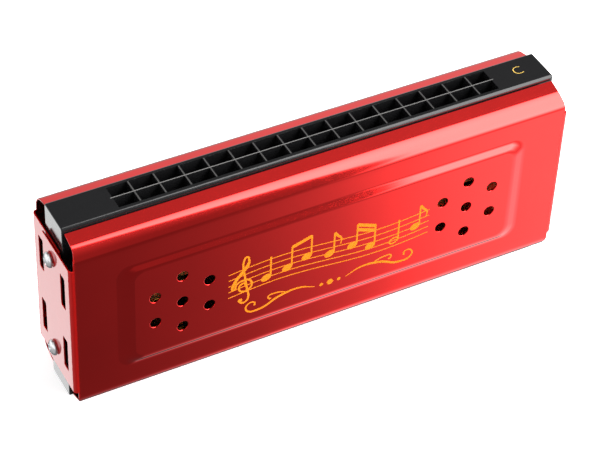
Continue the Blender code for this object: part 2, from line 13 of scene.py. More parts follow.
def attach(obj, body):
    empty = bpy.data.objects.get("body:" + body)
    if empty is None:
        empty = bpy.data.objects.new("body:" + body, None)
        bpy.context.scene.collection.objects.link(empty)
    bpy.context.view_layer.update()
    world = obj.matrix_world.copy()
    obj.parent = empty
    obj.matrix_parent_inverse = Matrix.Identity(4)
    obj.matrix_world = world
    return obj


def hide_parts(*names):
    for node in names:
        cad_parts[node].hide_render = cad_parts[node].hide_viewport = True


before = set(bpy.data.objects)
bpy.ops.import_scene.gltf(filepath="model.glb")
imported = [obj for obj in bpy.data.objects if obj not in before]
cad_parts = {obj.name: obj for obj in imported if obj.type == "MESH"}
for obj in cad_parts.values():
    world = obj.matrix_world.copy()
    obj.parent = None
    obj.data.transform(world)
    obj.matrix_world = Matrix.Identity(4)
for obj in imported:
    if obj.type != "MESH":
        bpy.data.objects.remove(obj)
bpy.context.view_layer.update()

bl_info = {
    "name": "Tremolo Harmonica",
    "version": (1, 0, 0),
    "blender": (4, 5, 0),
    "location": "View3D > Sidebar > Harmonica",
    "description": "Builds the covers, combs, screws and finishes of a double-sided tremolo harmonica",
    "category": "Add Mesh",
}

MM = 0.001
LEVELS = ("upper", "lower")
MIDDLE = 27.0 * MM
TOP = 54.0 * MM
COLUMN_PITCH = 6.4 * MM


class CoverSettings(bpy.types.PropertyGroup):
    """Sizes and colour of the two pressed covers."""
    sheet: FloatProperty(name="Sheet", description="Thickness of the sheet metal",
                         default=0.4 * MM, min=0.2 * MM, max=0.6 * MM, precision=5, unit="LENGTH")
    shoulder_radius: FloatProperty(name="Shoulder radius", description="Radius of the rounded long edges",
                                   default=4.0 * MM, min=2.0 * MM, max=5.0 * MM, precision=5, unit="LENGTH")
    panel_soften: FloatProperty(name="Panel softness",
                                description="How far the raised panel's bends are rounded",
                                default=0.75 * MM, min=0.1 * MM, max=0.8 * MM, precision=5, unit="LENGTH")
    vent_radius: FloatProperty(name="Vent radius", description="Radius of the round vents",
                               default=1.45 * MM, min=0.8 * MM, max=2.0 * MM, precision=5, unit="LENGTH")
    edge_soften: FloatProperty(name="Edge softness", description="Rounding of the cut edges of the sheet",
                               default=0.11 * MM, min=0.02 * MM, max=0.15 * MM, precision=5, unit="LENGTH")
    enamel: FloatVectorProperty(name="Enamel", description="Colour of the translucent red enamel",
                                default=(0.80, 0.0125, 0.0105), min=0.0, max=1.0, subtype="COLOR")


class CombSettings(bpy.types.PropertyGroup):
    """Softness and colour of the moulded combs."""
    edge_soften: FloatProperty(name="Edge softness", description="Rounding of the moulded edges",
                               default=0.14 * MM, min=0.02 * MM, max=0.18 * MM, precision=5, unit="LENGTH")
    plastic: FloatVectorProperty(name="Plastic", description="Colour of the moulded plastic",
                                 default=(0.008, 0.008, 0.0085), min=0.0, max=1.0, subtype="COLOR")
    # A pale colour mixed onto the walls between the mouth holes, as a painted highlight on their rims.
    painted_highlight: FloatVectorProperty(name="Rubbed plastic",
                                description="Colour of the rubbed walls between the holes",
                                default=(0.19, 0.185, 0.18), min=0.0, max=1.0, subtype="COLOR")


class ScrewSettings(bpy.types.PropertyGroup):
    """Sizes of the four end screws."""
    head_radius: FloatProperty(name="Head radius", description="Radius of the domed head",
                               default=2.0 * MM, min=1.5 * MM, max=2.0 * MM, precision=5, unit="LENGTH")
    head_height: FloatProperty(name="Head height", description="Height of the domed head",
                               default=1.14 * MM, min=0.9 * MM, max=1.14 * MM, precision=5, unit="LENGTH")
    cross_length: FloatProperty(name="Cross length", description="Length of each bar of the cross recess",
                                default=2.5 * MM, min=1.0 * MM, max=2.6 * MM, precision=5, unit="LENGTH")
    cross_width: FloatProperty(name="Cross width", description="Width of each bar of the cross recess",
                               default=0.65 * MM, min=0.3 * MM, max=0.8 * MM, precision=5, unit="LENGTH")
    cross_depth: FloatProperty(name="Cross depth", description="Depth of the cross recess",
                               default=0.8 * MM, min=0.3 * MM, max=1.0 * MM, precision=5, unit="LENGTH")
    facets: IntProperty(name="Facets", description="Faces round the head", default=48, min=24, max=96)


class PrintSettings(bpy.types.PropertyGroup):
    """The printed ornament and the key letters."""
    amber: FloatVectorProperty(name="Amber", description="Colour of the printed ornament",
                               default=(0.50, 0.14, 0.0005), min=0.0, max=1.0, subtype="COLOR")
    gold: FloatVectorProperty(name="Gold", description="Colour of the key letters",
                              default=(0.72, 0.48, 0.11), min=0.0, max=1.0, subtype="COLOR")
    thickness: FloatProperty(name="Thickness", description="How far the print stands on the surface",
                             default=0.02 * MM, min=0.005 * MM, max=0.05 * MM, precision=6, unit="LENGTH")


class StageSettings(bpy.types.PropertyGroup):
    """The camera, floor and lights."""
    lens: FloatProperty(name="Lens", description="Focal length of the camera in millimetres",
                        default=134.135, min=20.0, max=300.0)
    azimuth: FloatProperty(name="Azimuth", description="How far the camera stands round to the left",
                           default=math.radians(-29.4414), subtype="ANGLE", unit="ROTATION")
    elevation: FloatProperty(name="Elevation", description="How far the camera stands above the horizon",
                             default=math.radians(42.3437), subtype="ANGLE", unit="ROTATION")
    roll: FloatProperty(name="Roll", description="How far the camera is turned about its own axis",
                        default=math.radians(2.7105), subtype="ANGLE", unit="ROTATION")
    distance: FloatProperty(name="Distance",
                            description="Distance from the camera to the point it looks at",
                            default=524.302 * MM, min=0.2, max=2.0, unit="LENGTH")
    floor: FloatVectorProperty(name="Floor", description="Colour of the floor",
                               default=(0.93, 0.93, 0.93), min=0.0, max=1.0, subtype="COLOR")
    wall: FloatProperty(name="Wall light", description="Brightness of the wall of light at the right",
                        default=10.5, min=0.0, max=30.0)
    table: FloatProperty(name="Table", description="Brightness of the table at the right, as mirrored",
                         default=1.6, min=0.0, max=10.0)
    card: FloatProperty(name="Card", description="Brightness of the white card that the left end mirrors",
                        default=2.5, min=0.0, max=10.0)
    glow: FloatProperty(name="Floor glow",
                        description="How far the floor is lit from below, as a light table is",
                        default=0.6, min=0.0, max=1.0)


# Selecting and editing

def only(piece):
    """Leaves object mode's selection with this piece alone."""
    if bpy.context.object and bpy.context.object.mode != "OBJECT":
        bpy.ops.object.mode_set(mode="OBJECT")
    bpy.ops.object.select_all(action="DESELECT")
    piece.select_set(True)
    bpy.context.view_layer.objects.active = piece


def edit(piece):
    """Opens a piece in edit mode with nothing selected."""
    only(piece)
    bpy.ops.object.mode_set(mode="EDIT")
    bpy.ops.mesh.select_mode(type="VERT")
    bpy.ops.mesh.select_all(action="DESELECT")


def done():
    bpy.ops.object.mode_set(mode="OBJECT")


def select(kind, test):
    """Selects the vertices, edges or faces of the open mesh that pass a test, and nothing else."""
    mesh = bpy.context.edit_object.data
    bpy.ops.mesh.select_mode(type=kind)
    bpy.ops.mesh.select_all(action="DESELECT")
    shape = bmesh.from_edit_mesh(mesh)
    parts = {"VERT": shape.verts, "EDGE": shape.edges, "FACE": shape.faces}[kind]
    chosen = [part for part in parts if test(part)]
    if not chosen:
        raise RuntimeError(f"nothing to select on {bpy.context.edit_object.name}")
    for part in chosen:
        part.select = True
    shape.select_flush_mode()
    bmesh.update_edit_mesh(mesh)


def ends(edge):
    return edge.verts[0].co, edge.verts[1].co


def near(value, target, tolerance=0.02 * MM):
    return abs(value - target) < tolerance


def new_piece(name):
    """Names the primitive that was just added."""
    piece = bpy.context.object
    piece.name = name
    piece.data.name = name
    piece.data.materials.clear()
    return piece


def set_in_place():
    bpy.ops.object.transform_apply(location=True, rotation=True, scale=True)


def settle(piece, matrix):
    """Moves or turns a piece within its mesh."""
    piece.matrix_world = matrix
    only(piece)
    set_in_place()


def move(x=0.0, y=0.0, z=0.0):
    bpy.ops.transform.translate(value=(x, y, z))


def extrude(x=0.0, y=0.0, z=0.0):
    bpy.ops.mesh.extrude_region_move(TRANSFORM_OT_translate={"value": (x, y, z)})


def resize(x, y, z, centre):
    bpy.ops.transform.resize(value=(x, y, z), center_override=centre)


def modifier(piece, kind, **values):
    """Adds a modifier with these values and applies it."""
    only(piece)
    added = piece.modifiers.new(kind.title(), kind)
    for key, value in values.items():
        setattr(added, key, value)
    bpy.ops.object.modifier_apply(modifier=added.name)


def soften(piece, width, segments, degrees=50.0):
    """Rounds the edges that turn by more than an angle."""
    modifier(piece, "BEVEL", width=width, segments=segments, limit_method="ANGLE",
             angle_limit=math.radians(degrees), use_clamp_overlap=True)


def cut(piece, cutter):
    """Cuts one closed mesh from another and removes the cutter."""
    modifier(piece, "BOOLEAN", operation="DIFFERENCE", solver="EXACT", object=cutter)
    bpy.data.objects.remove(cutter, do_unlink=True)


def join(pieces, name):
    """Joins several meshes into one piece."""
    only(pieces[0])
    for piece in pieces[1:]:
        piece.select_set(True)
    if len(pieces) > 1:
        bpy.ops.object.join()
    return new_piece(name)


def duplicate(piece, name, matrix):
    """A copy with its own mesh, turned or moved within the mesh."""
    only(piece)
    bpy.ops.object.duplicate(linked=False)
    copy = bpy.context.object
    settle(copy, matrix)
    copy.name = name
    copy.data.name = name
    return copy


def smooth(piece, degrees):
    only(piece)
    bpy.ops.object.shade_smooth_by_angle(angle=math.radians(degrees))


def even_shading(piece, degrees=32.0):
    """Keeps flat faces flat beside small rounded edges."""
    smooth(piece, degrees)
    modifier(piece, "WEIGHTED_NORMAL", mode="FACE_AREA", weight=100, keep_sharp=True)


def outwards(piece):
    """Merges doubles and turns all faces outwards."""
    edit(piece)
    bpy.ops.mesh.select_all(action="SELECT")
    bpy.ops.mesh.remove_doubles(threshold=0.001 * MM)
    bpy.ops.mesh.normals_make_consistent(inside=False)
    done()


def put(piece, finish):
    piece.data.materials.clear()
    piece.data.materials.append(finish)


# Finishes

class Finish:
    """A node material that is put together from its shader outwards."""

    def __init__(self, name):
        self.material = bpy.data.materials.new(name)
        self.material.use_nodes = True
        self.tree = self.material.node_tree
        self.shader = self.tree.nodes["Principled BSDF"]
        self.column = -300
        coordinates = self.node("ShaderNodeTexCoord")
        self.place = coordinates.outputs["Object"]

    def node(self, kind, **values):
        made = self.tree.nodes.new(kind)
        made.location = (self.column, len(self.tree.nodes) * -60)
        self.column -= 40
        for key, value in values.items():
            setattr(made, key, value)
        return made

    def link(self, output, node, socket):
        self.tree.links.new(output, node.inputs[socket])

    def set(self, **values):
        for key, value in values.items():
            self.shader.inputs[key.replace("_", " ")].default_value = value

    def stretched(self, x, y, z):
        """Object coordinates with each axis scaled."""
        mapping = self.node("ShaderNodeMapping")
        mapping.inputs["Scale"].default_value = (x, y, z)
        self.link(self.place, mapping, "Vector")
        return mapping.outputs["Vector"]

    def noise(self, scale, detail=2.0, place=None, distortion=0.0):
        made = self.node("ShaderNodeTexNoise")
        made.inputs["Scale"].default_value = scale
        made.inputs["Detail"].default_value = detail
        made.inputs["Distortion"].default_value = distortion
        self.link(place or self.place, made, "Vector")
        return made.outputs["Fac"]

    def spread(self, value, low, high, start=0.3, end=0.7):
        """A value mapped to a range, which may drive a socket."""
        made = self.node("ShaderNodeMapRange")
        made.inputs["From Min"].default_value = start
        made.inputs["From Max"].default_value = end
        made.inputs["To Min"].default_value = low
        made.inputs["To Max"].default_value = high
        self.link(value, made, "Value")
        return made.outputs["Result"]

    def apart(self, axis, middle=0.0):
        """The distance of a point from a middle plane along one axis."""
        split = self.node("ShaderNodeSeparateXYZ")
        self.link(self.place, split, "Vector")
        return self.maths("ABSOLUTE", self.maths("SUBTRACT", split.outputs[axis], middle))

    def maths(self, operation, first, second=0.0):
        made = self.node("ShaderNodeMath", operation=operation)
        self.link(first, made, 0)
        if isinstance(second, float):
            made.inputs[1].default_value = second
        else:
            self.link(second, made, 1)
        return made.outputs["Value"]

    def blend(self, value, dark, light):
        """Two colours mixed by a value."""
        made = self.node("ShaderNodeMix", data_type="RGBA")
        made.inputs["A"].default_value = (*dark, 1.0)
        made.inputs["B"].default_value = (*light, 1.0)
        self.link(value, made, "Factor")
        return made.outputs["Result"]

    def bump(self, height, strength, distance):
        made = self.node("ShaderNodeBump")
        made.inputs["Strength"].default_value = strength
        made.inputs["Distance"].default_value = distance
        self.link(height, made, "Height")
        self.link(made.outputs["Normal"], self.shader, "Normal")

    def colour(self, output):
        self.link(output, self.shader, "Base Color")

    def roughness(self, output):
        self.link(output, self.shader, "Roughness")


# Where the end flaps' rougher base fades in, as distances from the middle, and what it adds
FLAP_FADE = (64.4 * MM, 65.2 * MM)
FLAP_ROUGHNESS = 0.48

# Where the painted highlight on the walls between the mouth holes fades out: at the row's ends and long
# sides, on each side of a long or a cross wall's middle, and the depths under the mouth face where it ends
# and where it is full
ROW_ENDS = (50.6 * MM, 50.8 * MM)
ROW_SIDES = (3.5 * MM, 3.7 * MM)
LONG_WALL = (0.06 * MM, 0.14 * MM)
CROSS_WALL = (0.1 * MM, 0.2 * MM)
MOUTH_FACE = (0.1 * MM, 0.04 * MM)


def tone(colour, factor):
    return tuple(min(1.0, channel * factor) for channel in colour)


def red_enamel(colour):
    """Translucent red enamel over polished sheet, rougher under its gloss on the end flaps."""
    finish = Finish("red_enamel")
    clouds = finish.noise(70.0, 3.0)
    finish.colour(finish.blend(finish.spread(clouds, 0.0, 1.0), tone(colour, 0.96), tone(colour, 1.03)))
    fine = finish.spread(finish.noise(500.0, 2.0), 0.045, 0.065)
    flaps = finish.spread(finish.apart("X"), 0.0, FLAP_ROUGHNESS, *FLAP_FADE)
    finish.roughness(finish.maths("ADD", fine, flaps))
    finish.set(Metallic=1.0, Specular_Tint=(0.04, 0.04, 0.04, 1.0), Coat_Weight=1.0, Coat_Roughness=0.05,
               Coat_IOR=1.3)
    return finish.material


def black_plastic(colour, painted_highlight):
    """Moulded black plastic: a deep shine, faint flow marks, and thin walls between the holes painted pale
    as a highlight.
    """
    finish = Finish("black_plastic")
    flow = finish.noise(60.0, 3.0, finish.stretched(0.3, 1.0, 1.0))
    mass = finish.blend(finish.spread(flow, 0.0, 1.0), tone(colour, 0.85), tone(colour, 1.2))
    mouth = finish.spread(finish.apart("Z", MIDDLE), 0.0, 1.0, *(MIDDLE - depth for depth in MOUTH_FACE))
    row = finish.spread(finish.apart("X"), 1.0, 0.0, *ROW_ENDS)
    row = finish.maths("MULTIPLY", row, finish.spread(finish.apart("Y"), 1.0, 0.0, *ROW_SIDES))
    long_wall = finish.spread(finish.apart("Y"), 1.0, 0.0, *LONG_WALL)
    nearest = finish.maths("PINGPONG", finish.apart("X"), COLUMN_PITCH / 2)
    cross_walls = finish.spread(nearest, 0.3, 0.0, *CROSS_WALL)
    walls = finish.maths("MAXIMUM", long_wall, cross_walls)
    # Painted highlight: the tops of the thin walls between the mouth holes are mixed towards a pale colour.
    painted_highlight_mask = finish.maths("MULTIPLY", finish.maths("MULTIPLY", walls, row), mouth)
    mixed = finish.node("ShaderNodeMix", data_type="RGBA")
    finish.link(painted_highlight_mask, mixed, "Factor")
    finish.link(mass, mixed, "A")
    mixed.inputs["B"].default_value = (*painted_highlight, 1.0)
    finish.colour(mixed.outputs["Result"])
    finish.roughness(finish.spread(finish.noise(500.0, 2.0), 0.1, 0.15))
    finish.set(Specular_IOR_Level=0.28)
    return finish.material


def brushed_brass(name, colour, scale, rough):
    """Rolled brass, brushed along its length, with slight tarnish."""
    finish = Finish(name)
    brushed = finish.noise(scale, 3.0, finish.stretched(0.05, 1.0, 1.0))
    tarnish = finish.noise(120.0, 4.0, distortion=0.6)
    finish.colour(finish.blend(finish.spread(tarnish, 0.0, 1.0, 0.35, 0.75), colour, tone(colour, 0.72)))
    finish.roughness(finish.spread(brushed, rough - 0.08, rough + 0.1))
    finish.bump(brushed, 0.12, 0.01 * MM)
    finish.set(Metallic=1.0, Anisotropic=0.4)
    return finish.material


def chrome():
    """Bright plating with faint turning marks and a little dirt."""
    finish = Finish("chrome")
    dirt = finish.noise(900.0, 3.0)
    finish.colour(finish.blend(finish.spread(dirt, 0.0, 1.0, 0.45, 0.7), (0.83, 0.84, 0.86),
                               (0.66, 0.66, 0.67)))
    finish.roughness(finish.spread(dirt, 0.03, 0.09))
    finish.set(Metallic=1.0)
    return finish.material


def printed(name, colour, gloss):
    """Screen print: opaque ink with a slightly uneven film."""
    finish = Finish(name)
    film = finish.noise(2200.0, 2.0)
    finish.colour(finish.blend(finish.spread(film, 0.0, 1.0), tone(colour, 0.94), tone(colour, 1.04)))
    finish.roughness(finish.spread(film, gloss - 0.05, gloss + 0.05))
    finish.bump(film, 0.05, 0.005 * MM)
    finish.set(Specular_IOR_Level=0.08)
    return finish.material


# Covers

COVER_HALF = 64.3 * MM
COVER_FACE = 11.5 * MM
LIP_EDGE = 5.3 * MM
LIP_DROP = 1.2 * MM
LIP_SLOPE = math.radians(16.0)
PANEL_FOOT = (54.1 * MM, 15.5 * MM)
PANEL_TOP = (51.2 * MM, 14.0 * MM)
PANEL_CORNER = 3.5 * MM
PANEL_FACE = 12.3 * MM
FLANGE = 1.6 * MM
FLAP_HALF = 19.6 * MM
FLAP_FACES = {"front": 66.0 * MM, "rear": 65.4 * MM}
FLAP_END = 4.2 * MM
BEND_RADIUS = 1.0 * MM
VENT_RING = 8.05 * MM
VENT_GROUP = 38.4 * MM
SLOT = (2.45 * MM, 9.65 * MM)
SLOT_PLACES = [(7.0 * MM, way * 9.95 * MM) for way in (-1, 1)]
SLOT_CORNER = 0.3 * MM
SCREW_HEIGHTS = {"upper": 41.2 * MM, "lower": 12.8 * MM}
SCREW_HOLE = 1.2 * MM
VENTS_ROUND = 6
CUTTER_LENGTH = 3.0 * MM

# From a mouth face, how far down the shoulders' ends start to widen, and over what height they do
WIDEN_START = 2.1 * MM
WIDEN_RUN = 3.6 * MM


def panel_sheet(settings):
    """The raised panel, pressed up from a flange that lies in the front sheet."""
    centre = (0.0, -COVER_FACE, MIDDLE)
    bpy.ops.mesh.primitive_plane_add(size=1.0, location=centre, rotation=(math.pi / 2, 0.0, 0.0))
    piece = new_piece("cover")
    piece.scale = (2 * PANEL_FOOT[0], 2 * PANEL_FOOT[1], 1.0)
    set_in_place()
    edit(piece)
    bpy.ops.mesh.select_all(action="SELECT")
    bpy.ops.mesh.bevel(offset=PANEL_CORNER, segments=10, profile=0.5, affect="VERTICES")
    select("FACE", lambda face: True)
    rise = PANEL_FACE - bpy.context.scene.harmonica_prints.thickness - COVER_FACE
    extrude(y=-rise)
    resize(PANEL_TOP[0] / PANEL_FOOT[0], 1.0, PANEL_TOP[1] / PANEL_FOOT[1], centre)
    select("FACE", lambda face: all(near(v.co.y, -COVER_FACE) for v in face.verts))
    bpy.ops.mesh.delete(type="ONLY_FACE")
    select("EDGE", lambda edge: all(near(co.y, -COVER_FACE) for co in ends(edge)))
    extrude()
    resize((PANEL_FOOT[0] + FLANGE) / PANEL_FOOT[0], 1.0, (PANEL_FOOT[1] + FLANGE) / PANEL_FOOT[1], centre)
    top = -COVER_FACE - rise
    select("EDGE", lambda edge: len(edge.link_faces) == 2 and edge.calc_face_angle() > math.radians(5.0)
           and any(all(near(co.y, level) for co in ends(edge)) for level in (top, -COVER_FACE)))
    bpy.ops.mesh.bevel(offset=settings.panel_soften, segments=6, profile=0.5, affect="EDGES")
    done()
    return piece


def front_sheet(piece, shoulder):
    """The flat sheet round the panel, out to the shoulders and the cover's ends."""
    centre = (0.0, -COVER_FACE, MIDDLE)
    bpy.ops.mesh.primitive_plane_add(size=1.0, location=centre, rotation=(math.pi / 2, 0.0, 0.0))
    rim = new_piece("rim")
    rim.scale = (2 * COVER_HALF, 2 * (MIDDLE - shoulder), 1.0)
    set_in_place()
    edit(rim)
    bpy.ops.mesh.select_all(action="SELECT")
    bpy.ops.mesh.delete(type="ONLY_FACE")
    done()
    cover = join([piece, rim], "cover")
    edit(cover)
    select("EDGE", lambda edge: len(edge.link_faces) < 2)
    bpy.ops.mesh.fill(use_beauty=True)
    select("FACE", lambda face: all(near(v.co.y, -COVER_FACE) for v in face.verts))
    bpy.ops.mesh.dissolve_limited(angle_limit=math.radians(0.5))
    for height in (MIDDLE - FLAP_HALF, MIDDLE + FLAP_HALF):
        bpy.ops.mesh.select_all(action="SELECT")
        bpy.ops.mesh.bisect(plane_co=(0.0, 0.0, height), plane_no=(0.0, 0.0, 1.0))
    done()
    return cover


def shoulders(cover, settings, depth, root):
    """Both long edges, turned over a round shoulder and drawn in to the lips."""
    radius = settings.shoulder_radius
    turn = math.pi / 2 - LIP_SLOPE
    tangent = (COVER_FACE - radius + radius * math.sin(LIP_SLOPE), depth - radius * math.cos(LIP_SLOPE))
    edit(cover)
    for way, height in ((1, TOP - depth), (-1, depth)):
        select("EDGE", lambda edge: all(near(co.z, height) for co in ends(edge)))
        bpy.ops.mesh.spin(steps=12, angle=way * turn, center=(0.0, radius - COVER_FACE, height),
                          axis=(1.0, 0.0, 0.0))
        level = TOP - tangent[1] if way > 0 else tangent[1]
        select("EDGE", lambda edge: all(near(co.z, level) and near(co.y, -tangent[0]) for co in ends(edge)))
        extrude(y=tangent[0] - LIP_EDGE, z=way * (tangent[1] - LIP_DROP))
        bpy.ops.mesh.select_all(action="DESELECT")
    widen_ends(root)
    done()


def widen_ends(root):
    """Draws the ends of the shoulders outwards, towards the root of each flap."""
    shape = bmesh.from_edit_mesh(bpy.context.edit_object.data)
    heights = sorted({round(abs(v.co.z - MIDDLE), 6) for v in shape.verts
                      if near(abs(v.co.x), COVER_HALF) and abs(v.co.z - MIDDLE) > FLAP_HALF - MM})
    for height in heights:
        share = max(0.0, min(1.0, (MIDDLE - WIDEN_START - height) / WIDEN_RUN))
        if share == 0.0:
            continue
        reach = (root - COVER_HALF) * share * share * (3 - 2 * share)
        for way in (-1, 1):
            select("VERT", lambda vertex: near(vertex.co.x, way * COVER_HALF)
                   and near(abs(vertex.co.z - MIDDLE), height, 0.002 * MM))
            move(x=way * reach)


def flaps(cover, flap_face):
    """An end flap at each end: from the front sheet round the bend and across the end."""
    edit(cover)
    for way in (-1, 1):
        root = flap_face - BEND_RADIUS
        select("EDGE", lambda edge: all(near(co.x, way * root) and near(co.y, -COVER_FACE)
                                        and abs(co.z - MIDDLE) < FLAP_HALF + 0.01 * MM for co in ends(edge)))
        bpy.ops.mesh.spin(steps=8, angle=-way * math.pi / 2,
                          center=(way * root, BEND_RADIUS - COVER_FACE, 0.0), axis=(0.0, 0.0, 1.0))
        select("EDGE", lambda edge: all(near(co.x, way * flap_face) and near(co.y, BEND_RADIUS - COVER_FACE)
                                        for co in ends(edge)))
        extrude(y=COVER_FACE - BEND_RADIUS + FLAP_END)
    done()


def cylinder_cutter(radius, place, axis, sides):
    turn = Vector((0.0, 0.0, 1.0)).rotation_difference(Vector(axis)).to_euler()
    bpy.ops.mesh.primitive_cylinder_add(vertices=sides, radius=radius, depth=CUTTER_LENGTH, location=place,
                                        rotation=turn)
    set_in_place()
    return bpy.context.object


def openings(cover, flap_face, settings):
    """The vents, the slots in the flaps and the holes for the screws."""
    cutters = []
    for group in (-1, 1):
        for index in range(VENTS_ROUND + 1):
            angle = math.radians(360.0 / VENTS_ROUND * index)
            ring = VENT_RING if index < VENTS_ROUND else 0.0
            place = (group * VENT_GROUP + ring * math.sin(angle), -PANEL_FACE,
                     MIDDLE + ring * math.cos(angle))
            cutters.append(cylinder_cutter(settings.vent_radius, place, (0, -1, 0), 40))
    for way in (-1, 1):
        for distance, height in SLOT_PLACES:
            bpy.ops.mesh.primitive_cube_add(size=1.0, location=(way * flap_face, -distance, MIDDLE + height))
            slot = bpy.context.object
            slot.scale = (CUTTER_LENGTH, SLOT[0], SLOT[1])
            set_in_place()
            edit(slot)
            select("EDGE", lambda edge: abs(edge.verts[0].co.x - edge.verts[1].co.x) > MM)
            bpy.ops.mesh.bevel(offset=SLOT_CORNER, segments=4, profile=0.5, affect="EDGES")
            done()
            cutters.append(slot)
        for height in SCREW_HEIGHTS.values():
            cutters.append(cylinder_cutter(SCREW_HOLE, (way * flap_face, 0.0, height), (1, 0, 0), 32))
    cut(cover, join(cutters, "openings"))


def cover_shape(face, settings):
    """A finished cover shape, pressed from one sheet, at the front."""
    lean = LIP_SLOPE
    radius = settings.shoulder_radius
    run = COVER_FACE - radius + radius * math.sin(lean) - LIP_EDGE
    depth = LIP_DROP + run * math.tan(lean) + radius * math.cos(lean)
    cover = front_sheet(panel_sheet(settings), depth)
    shoulders(cover, settings, depth, FLAP_FACES[face] - BEND_RADIUS)
    flaps(cover, FLAP_FACES[face])
    outwards(cover)
    if max(cover.data.polygons, key=lambda part: part.area).normal.y > 0:
        raise RuntimeError("the cover's sheet faces inwards")
    modifier(cover, "SOLIDIFY", thickness=settings.sheet, offset=-1.0, use_even_offset=True, use_rim=True)
    openings(cover, FLAP_FACES[face], settings)
    soften(cover, settings.edge_soften, 3)
    even_shading(cover, 31.0)
    return cover


class HARMONICA_OT_covers(bpy.types.Operator):
    """Press the two red covers, with raised panels, vents and end flaps"""
    bl_idname = "harmonica.covers"
    bl_label = "Covers"
    bl_options = {"REGISTER", "UNDO"}

    def execute(self, context):
        settings = context.scene.harmonica_covers
        enamel = red_enamel(settings.enamel)
        for face in FLAP_FACES:
            cover = cover_shape(face, settings)
            if face == "rear":
                settle(cover, Matrix.Rotation(math.pi, 4, "Z"))
            cover.name = f"{face}_pressed_cover"
            cover.data.name = cover.name
            put(cover, enamel)
            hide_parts(f"{face}_cover")
            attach(cover, "body")
        return {"FINISHED"}


# Combs

KEY_LETTERS = {"upper": "C", "lower": "G"}
KEY_PLACE = (57.95 * MM, 0.4 * MM)
KEY_HEIGHT = 2.7 * MM
KEY_DEPTH = 0.06 * MM


def key_letter(level):
    """The letter of a comb's key as a thin solid, read with the mouth face towards the eye."""
    bpy.ops.object.text_add()
    text = bpy.context.object
    text.data.body = KEY_LETTERS[level]
    text.data.extrude = 0.5
    text.data.offset = -0.02
    only(text)
    bpy.ops.object.convert(target="MESH")
    letter = bpy.context.object
    corners = [Vector(corner) for corner in letter.bound_box]
    low = Vector([min(corner[axis] for corner in corners) for axis in range(3)])
    high = Vector([max(corner[axis] for corner in corners) for axis in range(3)])
    factor = KEY_HEIGHT / (high.y - low.y)
    size = Matrix.Diagonal((factor, factor, 2 * KEY_DEPTH, 1.0))
    centre = Matrix.Translation(-(low + high) / 2)
    face = Matrix.Translation((*KEY_PLACE, TOP))
    if level == "lower":
        face = Matrix.Translation((KEY_PLACE[0], -KEY_PLACE[1], 0.0)) @ Matrix.Rotation(math.pi, 4, "X")
    settle(letter, face @ size @ centre)
    letter.name = f"{level}_key_letter"
    return letter


class HARMONICA_OT_combs(bpy.types.Operator):
    """Mould the two black combs with softened edges and a recess for the key letter"""
    bl_idname = "harmonica.combs"
    bl_label = "Combs"
    bl_options = {"REGISTER", "UNDO"}

    def execute(self, context):
        settings = context.scene.harmonica_combs
        plastic = black_plastic(settings.plastic, settings.painted_highlight)
        for level in LEVELS:
            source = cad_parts[f"{level}_comb"]
            comb = source.copy()
            comb.data = source.data.copy()
            for key in list(comb.keys()):
                del comb[key]
            context.scene.collection.objects.link(comb)
            comb.parent = None
            comb.name = f"{level}_moulded_comb"
            comb.data.name = comb.name
            edit(comb)
            bpy.ops.mesh.select_all(action="SELECT")
            bpy.ops.mesh.remove_doubles(threshold=0.001 * MM)
            bpy.ops.mesh.dissolve_limited(angle_limit=math.radians(0.5))
            done()
            soften(comb, settings.edge_soften, 3)
            cut(comb, key_letter(level))
            even_shading(comb)
            put(comb, plastic)
            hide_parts(f"{level}_comb")
            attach(comb, "body")
        return {"FINISHED"}


# Screws

UNDER_HEAD = 66.3 * MM
SCREW_TIP = 56.3 * MM
SCREW_SOFTEN = 0.06 * MM
POINT_LENGTH = 0.9 * MM

# The shank's width over the head's, the tip's over the shank's, and the recess's floor over its mouth
SHANK_SHARE = 0.45
TIP_SHARE = 0.1
RECESS_SHARE = 0.62


def screw_shape(settings):
    """One screw along Z: a domed head with a cross recess on a plain shank, head up."""
    length = UNDER_HEAD - SCREW_TIP
    bpy.ops.mesh.primitive_uv_sphere_add(segments=settings.facets, ring_count=32, radius=1.0)
    screw = new_piece("screw")
    screw.scale = (settings.head_radius, settings.head_radius, settings.head_height)
    set_in_place()
    edit(screw)
    bpy.ops.mesh.select_all(action="SELECT")
    bpy.ops.mesh.bisect(plane_co=(0.0, 0.0, 0.0), plane_no=(0.0, 0.0, 1.0), use_fill=True, clear_inner=True)
    select("FACE", lambda face: all(near(v.co.z, 0.0) for v in face.verts))
    bpy.ops.mesh.extrude_region()
    resize(SHANK_SHARE, SHANK_SHARE, 1.0, (0.0, 0.0, 0.0))
    extrude(z=POINT_LENGTH - length)
    extrude(z=-POINT_LENGTH)
    resize(TIP_SHARE, TIP_SHARE, 1.0, (0.0, 0.0, -length))
    done()
    bars = []
    for turn in (0.0, math.pi / 2):
        bpy.ops.mesh.primitive_cube_add(size=1.0, location=(0.0, 0.0, settings.head_height))
        bar = bpy.context.object
        bar.scale = (settings.cross_length, settings.cross_width, 2 * settings.cross_depth)
        bar.rotation_euler = (0.0, 0.0, turn)
        set_in_place()
        edit(bar)
        select("FACE", lambda face: face.normal.z < -0.9)
        resize(RECESS_SHARE, RECESS_SHARE, 1.0, (0.0, 0.0, 0.0))
        done()
        bars.append(bar)
    for bar in bars:
        cut(screw, bar)
    soften(screw, SCREW_SOFTEN, 2, 40.0)
    even_shading(screw, 35.0)
    return screw


